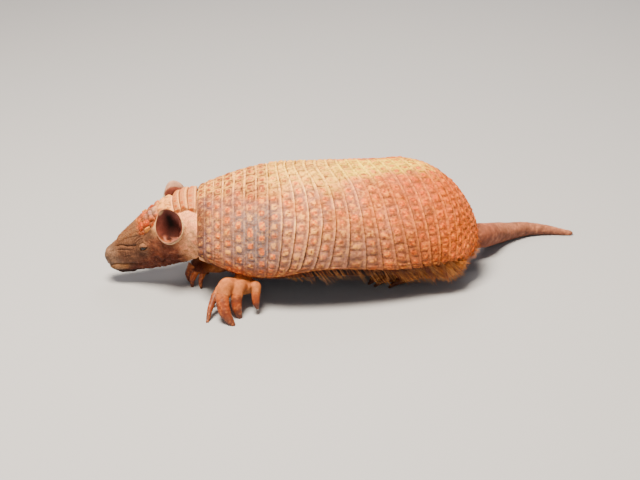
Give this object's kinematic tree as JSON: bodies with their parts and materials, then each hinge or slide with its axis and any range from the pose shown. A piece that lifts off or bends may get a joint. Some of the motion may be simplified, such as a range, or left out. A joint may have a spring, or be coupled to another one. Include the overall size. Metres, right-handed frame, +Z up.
{
  "type": "armadillo model",
  "caption": "Still life-size model of an adult naked-tailed armadillo standing low, with banded shell, cup ears, digging claws and a bare tail.",
  "frame": {"origin": "centre of the bounding box at the level of the soles, claw tips and tail, on the floor", "axes": "+X from nose to tail, +Y to the animal's right, +Z up"},
  "size_m": [0.608, 0.2214, 0.1453],
  "materials": {
    "shell_horn": "bone scutes under thin dull horn, dusted with red clay",
    "skin": "bare wrinkled skin with sparse bristles, dusted with red clay",
    "claw_horn": "worn horn, satin, stained with clay",
    "eye": "wet black eye"
  },
  "bodies": {
    "root": {"shoulder_shield": "shell_horn", "band_01": "shell_horn", "band_02": "shell_horn", "band_03": "shell_horn", "band_04": "shell_horn", "band_05": "shell_horn", "band_06": "shell_horn", "band_07": "shell_horn", "band_08": "shell_horn", "band_09": "shell_horn", "band_10": "shell_horn", "band_11": "shell_horn", "band_12": "shell_horn", "band_13": "shell_horn", "rump_shield": "shell_horn", "head_shield": "shell_horn", "nape_band_1": "shell_horn", "nape_band_2": "shell_horn", "nape_band_3": "shell_horn", "head": "skin", "neck": "skin", "trunk": "skin", "tail": "skin", "ear_left": "skin", "ear_right": "skin", "foreleg_left": "skin", "foreleg_right": "skin", "forefoot_left": "skin", "forefoot_right": "skin", "hindleg_left": "skin", "hindleg_right": "skin", "hindfoot_left": "skin", "hindfoot_right": "skin", "forefoot_left_claw_1": "claw_horn", "forefoot_left_claw_2": "claw_horn", "forefoot_left_claw_3": "claw_horn", "forefoot_left_claw_4": "claw_horn", "forefoot_left_claw_5": "claw_horn", "forefoot_right_claw_1": "claw_horn", "forefoot_right_claw_2": "claw_horn", "forefoot_right_claw_3": "claw_horn", "forefoot_right_claw_4": "claw_horn", "forefoot_right_claw_5": "claw_horn", "hindfoot_left_claw_1": "claw_horn", "hindfoot_left_claw_2": "claw_horn", "hindfoot_left_claw_3": "claw_horn", "hindfoot_left_claw_4": "claw_horn", "hindfoot_left_claw_5": "claw_horn", "hindfoot_right_claw_1": "claw_horn", "hindfoot_right_claw_2": "claw_horn", "hindfoot_right_claw_3": "claw_horn", "hindfoot_right_claw_4": "claw_horn", "hindfoot_right_claw_5": "claw_horn", "eye_left": "eye", "eye_right": "eye"}
  },
  "joints": []
}
